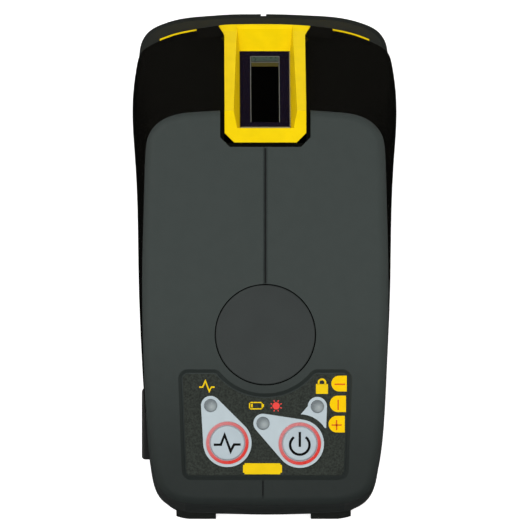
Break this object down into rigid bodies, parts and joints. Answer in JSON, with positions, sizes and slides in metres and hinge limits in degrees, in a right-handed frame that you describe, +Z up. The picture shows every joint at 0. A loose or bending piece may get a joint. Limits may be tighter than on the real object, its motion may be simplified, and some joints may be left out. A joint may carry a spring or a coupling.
{
  "type": "cross-line laser level",
  "caption": "Self-levelling cross-line laser level with a sloping front window, a two-key pad on top, a pendulum in a gimbal, a side lock slide and a battery door.",
  "frame": {"origin": "centre of the footprint, on the surface that the level stands on", "axes": "+Y to the front, where the window is; +X to the right; +Z up"},
  "size_m": [0.0668, 0.1296, 0.0807],
  "materials": {
    "grey_rubber": "matte, fine grain",
    "bumper_rubber": "matte",
    "black_abs": "gloss",
    "yellow_abs": "satin gloss",
    "coated_glass": "coated, dark",
    "black_seal": "matte",
    "baffle_black": "matte",
    "plug_rubber": "matte, fine grain",
    "overlay_black": "fine texture",
    "silver_plastic": "satin silver",
    "red_lens": "translucent red",
    "silver_key": "satin silver",
    "clear_lens": "diffusing",
    "board_green": "solder mask",
    "component_black": "moulded",
    "steel": "bright",
    "brass": "turned",
    "copper": "rolled",
    "zinc": "die cast",
    "aluminium": "die cast",
    "magnet": "nickel plated",
    "cell_jacket": "wrapped",
    "ribbon": "film",
    "label": "printed film",
    "rod_glass": "clear"
  },
  "bodies": {
    "root": {"base_bumper": "bumper_rubber", "battery_cells": "cell_jacket", "battery_contacts": "steel", "battery_springs": "steel", "board_chips": "component_black", "board_screws": "steel", "bracket_screws": "steel", "capacitors": "component_black", "damper_magnets": "magnet", "door_pin": "steel", "gimbal_bracket": "aluminium", "housing_gasket": "black_seal", "housing_screws": "steel", "indicator_leds": "ribbon", "key_switches": "component_black", "keypad_board": "board_green", "keypad_overlay": "overlay_black", "keypad_ribbon": "ribbon", "keypad_screws": "steel", "led_lenses": "clear_lens", "lock_spring": "steel", "lock_surround": "silver_plastic", "lock_switch": "component_black", "lower_housing": "black_abs", "main_board": "board_green", "nose_frame": "yellow_abs", "pitch_bearings": "steel", "power_ring": "red_lens", "power_surround": "silver_plastic", "pulse_ring": "red_lens", "pulse_surround": "silver_plastic", "rating_label": "label", "ribbon_sockets": "component_black", "top_overmould": "grey_rubber", "top_plug": "plug_rubber", "tripod_insert": "brass", "upper_housing": "black_abs", "window_baffle": "baffle_black", "window_glass": "coated_glass", "window_seal": "black_seal"},
    "pulse_key": {"pulse_button": "silver_key", "pulse_plunger": "component_black"},
    "power_key": {"power_button": "silver_key", "power_plunger": "component_black"},
    "door": {"battery_door": "black_abs"},
    "lock": {"lock_thumb": "black_abs", "lock_slider": "component_black", "lock_pad": "black_seal"},
    "gimbal": {"gimbal_ring": "aluminium", "pitch_pins": "steel", "roll_bearings": "steel"},
    "pendulum": {"pendulum_body": "zinc", "trim_screws": "brass", "damping_plate": "copper", "horizontal_laser": "brass", "vertical_laser": "brass", "horizontal_line_rod": "rod_glass", "vertical_line_rod": "rod_glass", "laser_driver_board": "board_green", "roll_pins": "steel"}
  },
  "joints": [
    {"name": "pulse_press", "type": "slide", "parent": "root", "child": "pulse_key", "axis": [0, 0, -1], "range_m": [0, 0.0004], "stiffness_N_per_m": 1500, "springref_m": -0.0003},
    {"name": "power_press", "type": "slide", "parent": "root", "child": "power_key", "axis": [0, 0, -1], "range_m": [0, 0.0004], "stiffness_N_per_m": 1500, "springref_m": -0.0003},
    {"name": "lock_slide", "type": "slide", "parent": "root", "child": "lock", "axis": [0, 1, 0], "range_m": [0, 0.006]},
    {"name": "door_swing", "type": "hinge", "parent": "root", "child": "door", "pos_m": [0, 0.0041, 0.0016], "axis": [1, 0, 0], "range_deg": [0, 100]},
    {"name": "gimbal_pitch", "type": "hinge", "parent": "root", "child": "gimbal", "pos_m": [0, 0.017, 0.054], "axis": [1, 0, 0], "range_deg": [-4, 4]},
    {"name": "pendulum_roll", "type": "hinge", "parent": "gimbal", "child": "pendulum", "pos_m": [0, 0.017, 0.054], "axis": [0, 1, 0], "range_deg": [-4, 4]}
  ]
}
